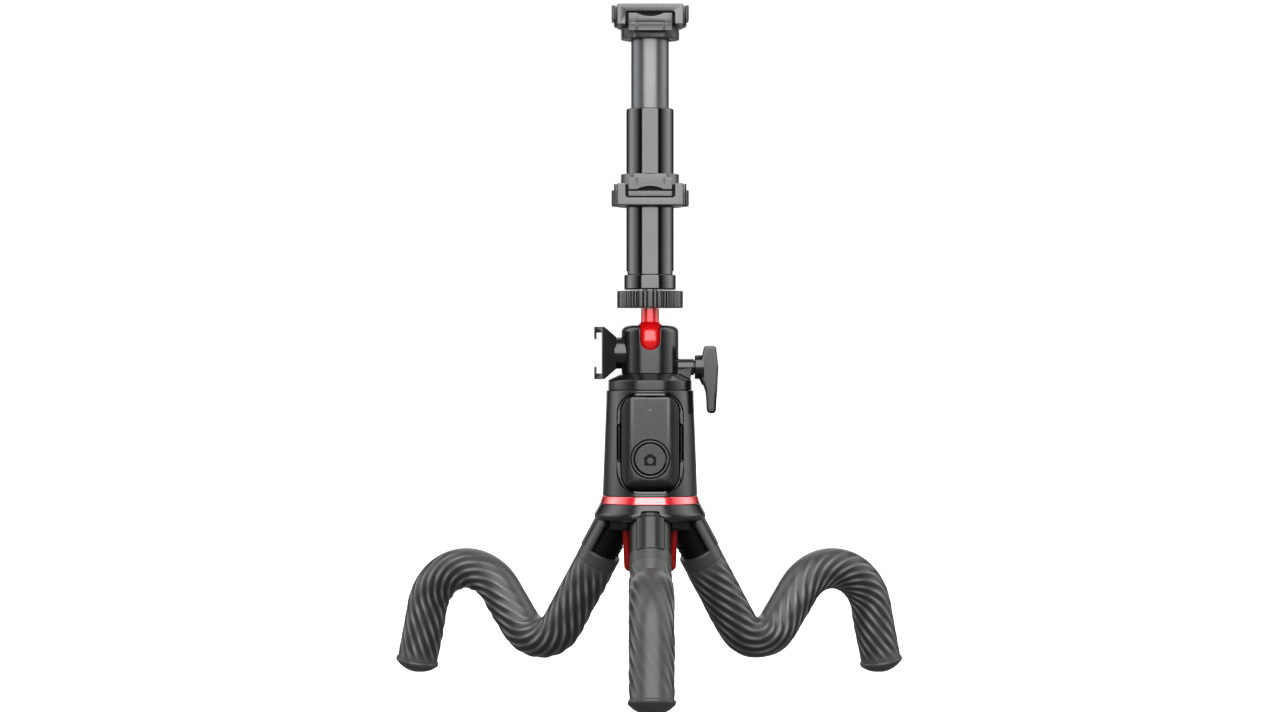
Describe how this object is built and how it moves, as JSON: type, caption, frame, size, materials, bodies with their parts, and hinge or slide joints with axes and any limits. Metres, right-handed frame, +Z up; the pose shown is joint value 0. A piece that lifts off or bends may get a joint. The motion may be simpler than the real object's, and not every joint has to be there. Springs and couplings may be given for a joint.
{
  "type": "flexible leg tripod",
  "caption": "Small tripod with bendable rubber legs, a red-stemmed ball head with a side cold shoe, a remote seated in its body and a sliding phone clamp.",
  "frame": {"origin": "on the floor under the column axis, in the plane of the three feet", "axes": "+Z up the column, -Y towards the front leg and the remote's face, +X to the wing knob, -X to the cold shoe"},
  "size_m": [0.2402, 0.2106, 0.3075],
  "materials": {
    "black_plastic": "satin, lightly grained",
    "dark_plastic": "matte",
    "jaw_plastic": "satin",
    "jaw_rubber": "matte, lightly ribbed",
    "leg_rubber": "matte, spiral ridges",
    "red_plastic": "glossy",
    "red_metal": "anodised satin",
    "steel": "bright",
    "aluminium": "satin",
    "board": "solder mask",
    "lens": "clear"
  },
  "bodies": {
    "stand": {"base_hub": "black_plastic", "hub_plate": "dark_plastic", "base_screws": "steel", "hinge_pins": "steel", "leg_spider": "red_plastic", "spider_screw": "steel", "trim_ring": "red_plastic", "body_shell": "black_plastic", "remote_tray": "black_plastic", "head_collar": "black_plastic", "head_screws": "steel", "ball_housing": "black_plastic", "ball_seat": "aluminium", "cold_shoe": "black_plastic", "shoe_screw": "steel"},
    "remote": {"remote_front": "black_plastic", "remote_back": "dark_plastic", "remote_light": "lens", "remote_board": "board", "coin_cell": "steel"},
    "button": {"remote_button": "black_plastic"},
    "knob": {"lock_screw": "steel", "wing_knob": "black_plastic"},
    "ball_side": {"ball_liner": "steel"},
    "ball": {"ball_stem": "red_metal", "camera_stud": "steel"},
    "wheel": {"lock_wheel": "black_plastic"},
    "clamp": {"clamp_base": "black_plastic", "clamp_post": "black_plastic", "lower_jaw": "jaw_plastic", "lower_jaw_pad": "jaw_rubber"},
    "jaw": {"jaw_slide": "aluminium", "upper_jaw": "jaw_plastic", "upper_jaw_pad": "jaw_rubber"},
    "front_leg": {"front_socket": "dark_plastic", "front_core_upper": "aluminium", "front_sleeve_upper": "leg_rubber"},
    "front_leg_middle": {"front_core_middle": "aluminium", "front_sleeve_middle": "leg_rubber"},
    "front_leg_end": {"front_core_lower": "aluminium", "front_sleeve_lower": "leg_rubber", "front_foot": "leg_rubber"},
    "left_leg": {"left_socket": "dark_plastic", "left_core_upper": "aluminium", "left_sleeve_upper": "leg_rubber"},
    "left_leg_middle": {"left_core_middle": "aluminium", "left_sleeve_middle": "leg_rubber"},
    "left_leg_end": {"left_core_lower": "aluminium", "left_sleeve_lower": "leg_rubber", "left_foot": "leg_rubber"},
    "right_leg": {"right_socket": "dark_plastic", "right_core_upper": "aluminium", "right_sleeve_upper": "leg_rubber"},
    "right_leg_middle": {"right_core_middle": "aluminium", "right_sleeve_middle": "leg_rubber"},
    "right_leg_end": {"right_core_lower": "aluminium", "right_sleeve_lower": "leg_rubber", "right_foot": "leg_rubber"}
  },
  "joints": [
    {"name": "ball_side_tilt", "type": "hinge", "parent": "stand", "child": "ball_side", "pos_m": [0, 0, 0.15659], "axis": [0, 1, 0], "range_deg": [-17, 17]},
    {"name": "ball_front_tilt", "type": "hinge", "parent": "ball_side", "child": "ball", "pos_m": [0, 0, 0.15659], "axis": [1, 0, 0], "range_deg": [-20, 90]},
    {"name": "lock_wheel_spin", "type": "hinge", "parent": "ball", "child": "wheel", "pos_m": [0, 0, 0.17129], "axis": [0, 0, 1], "continuous": true},
    {"name": "clamp_swivel", "type": "hinge", "parent": "ball", "child": "clamp", "pos_m": [0, 0, 0.17949], "axis": [0, 0, 1], "continuous": true},
    {"name": "jaw_slide", "type": "slide", "parent": "clamp", "child": "jaw", "axis": [0, 0, 1], "range_m": [-0.016, 0.014]},
    {"name": "lock_knob_turn", "type": "hinge", "parent": "stand", "child": "knob", "pos_m": [0.02, 0, 0.14439], "axis": [1, 0, 0], "range_deg": [0, 360]},
    {"name": "remote_lift_out", "type": "slide", "parent": "stand", "child": "remote", "axis": [0, -1, 0], "range_m": [0, 0.03]},
    {"name": "button_press", "type": "slide", "parent": "remote", "child": "button", "axis": [0, 1, 0], "range_m": [0, 0.0006], "stiffness_N_per_m": 1500},
    {"name": "front_leg_fold", "type": "hinge", "parent": "stand", "child": "front_leg", "pos_m": [0, -0.01535, 0.07679], "axis": [1, 0, 0], "range_deg": [0, 31.4]},
    {"name": "front_low_bend", "type": "hinge", "parent": "front_leg", "child": "front_leg_middle", "pos_m": [0, -0.05779, 0.01907], "axis": [1, 0, 0], "range_deg": [-25, 25]},
    {"name": "front_high_bend", "type": "hinge", "parent": "front_leg_middle", "child": "front_leg_end", "pos_m": [0, -0.10324, 0.04933], "axis": [1, 0, 0], "range_deg": [-25, 25]},
    {"name": "left_leg_fold", "type": "hinge", "parent": "stand", "child": "left_leg", "pos_m": [-0.01329, 0.00768, 0.07679], "axis": [-0.5, -0.866, 0], "range_deg": [0, 31.4]},
    {"name": "left_low_bend", "type": "hinge", "parent": "left_leg", "child": "left_leg_middle", "pos_m": [-0.05005, 0.0289, 0.01907], "axis": [-0.5, -0.866, 0], "range_deg": [-25, 25]},
    {"name": "left_high_bend", "type": "hinge", "parent": "left_leg_middle", "child": "left_leg_end", "pos_m": [-0.0894, 0.05162, 0.04933], "axis": [-0.5, -0.866, 0], "range_deg": [-25, 25]},
    {"name": "right_leg_fold", "type": "hinge", "parent": "stand", "child": "right_leg", "pos_m": [0.01329, 0.00768, 0.07679], "axis": [-0.5, 0.866, 0], "range_deg": [0, 31.4]},
    {"name": "right_low_bend", "type": "hinge", "parent": "right_leg", "child": "right_leg_middle", "pos_m": [0.05005, 0.0289, 0.01907], "axis": [-0.5, 0.866, 0], "range_deg": [-25, 25]},
    {"name": "right_high_bend", "type": "hinge", "parent": "right_leg_middle", "child": "right_leg_end", "pos_m": [0.0894, 0.05162, 0.04933], "axis": [-0.5, 0.866, 0], "range_deg": [-25, 25]}
  ]
}
